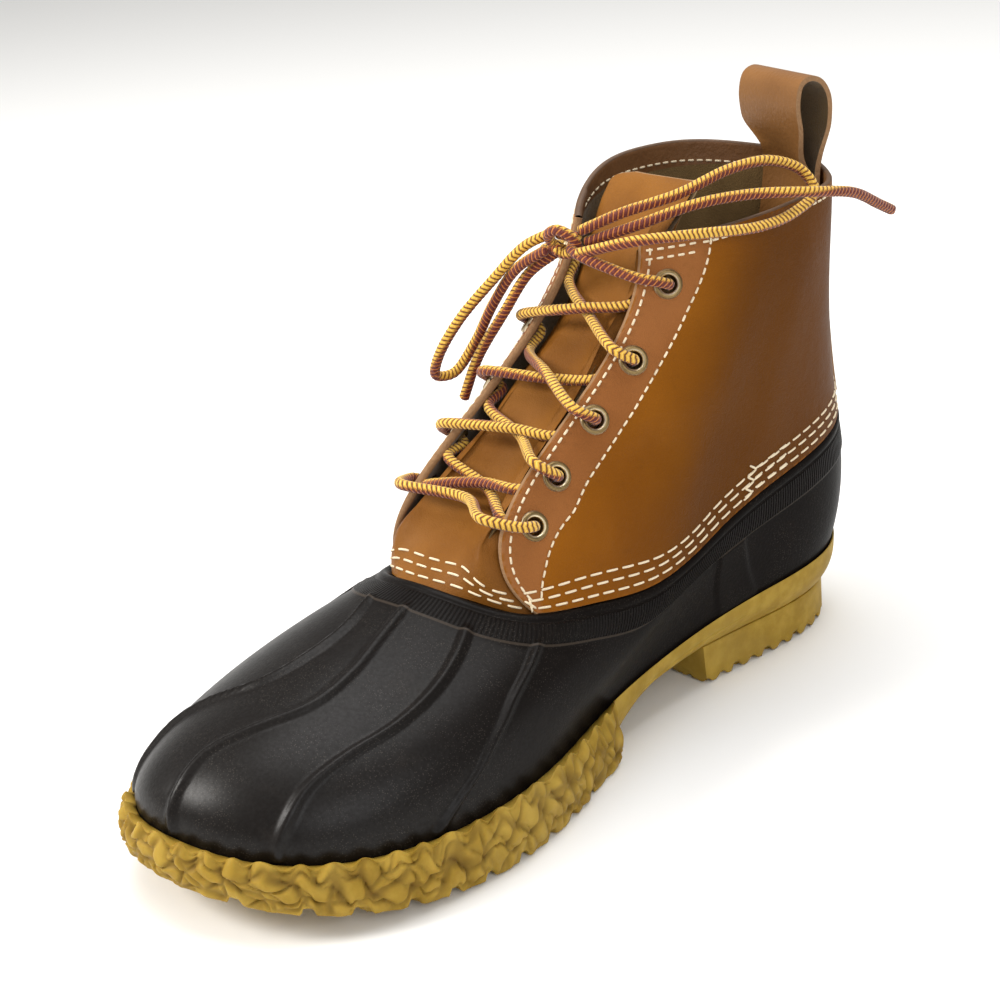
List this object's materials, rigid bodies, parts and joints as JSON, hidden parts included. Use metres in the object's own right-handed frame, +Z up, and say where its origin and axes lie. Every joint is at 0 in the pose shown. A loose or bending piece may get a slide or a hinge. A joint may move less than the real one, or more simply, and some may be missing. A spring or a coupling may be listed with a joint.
{
  "type": "duck boot",
  "caption": "Lace-up duck boot: moulded rubber bottom with a chain-rim rubber sole, leather ankle upper, brass eyelets, pull loop at the heel.",
  "frame": {"origin": "on the floor under the centre of the heel", "axes": "+Z up, -Y towards the toe, +X the inner side of the foot, which is the wearer's left of this right boot"},
  "size_m": [0.1214, 0.306, 0.2007],
  "materials": {
    "sole rubber": "matt caramel rubber",
    "rubber": "satin, nearly black brown, finely speckled",
    "leather": "semi-gloss saddle brown, suede inside",
    "insole": "matt",
    "brass": "antique, satin",
    "lace": "round braid, golden yellow with dark red"
  },
  "bodies": {
    "root": {"outsole": "sole rubber", "heel": "sole rubber", "rubber_bottom": "rubber", "insole": "insole", "leather_upper": "leather", "tongue": "leather", "backstay": "leather", "pull_loop": "leather", "eyelet_inner_1": "brass", "eyelet_inner_2": "brass", "eyelet_inner_3": "brass", "eyelet_inner_4": "brass", "eyelet_inner_5": "brass", "eyelet_outer_1": "brass", "eyelet_outer_2": "brass", "eyelet_outer_3": "brass", "eyelet_outer_4": "brass", "eyelet_outer_5": "brass", "lace_crossings": "lace", "lace_knot": "lace", "lace_loop_right": "lace", "lace_end_right": "lace", "lace_loop_left": "lace", "lace_end_left": "lace"}
  },
  "joints": []
}
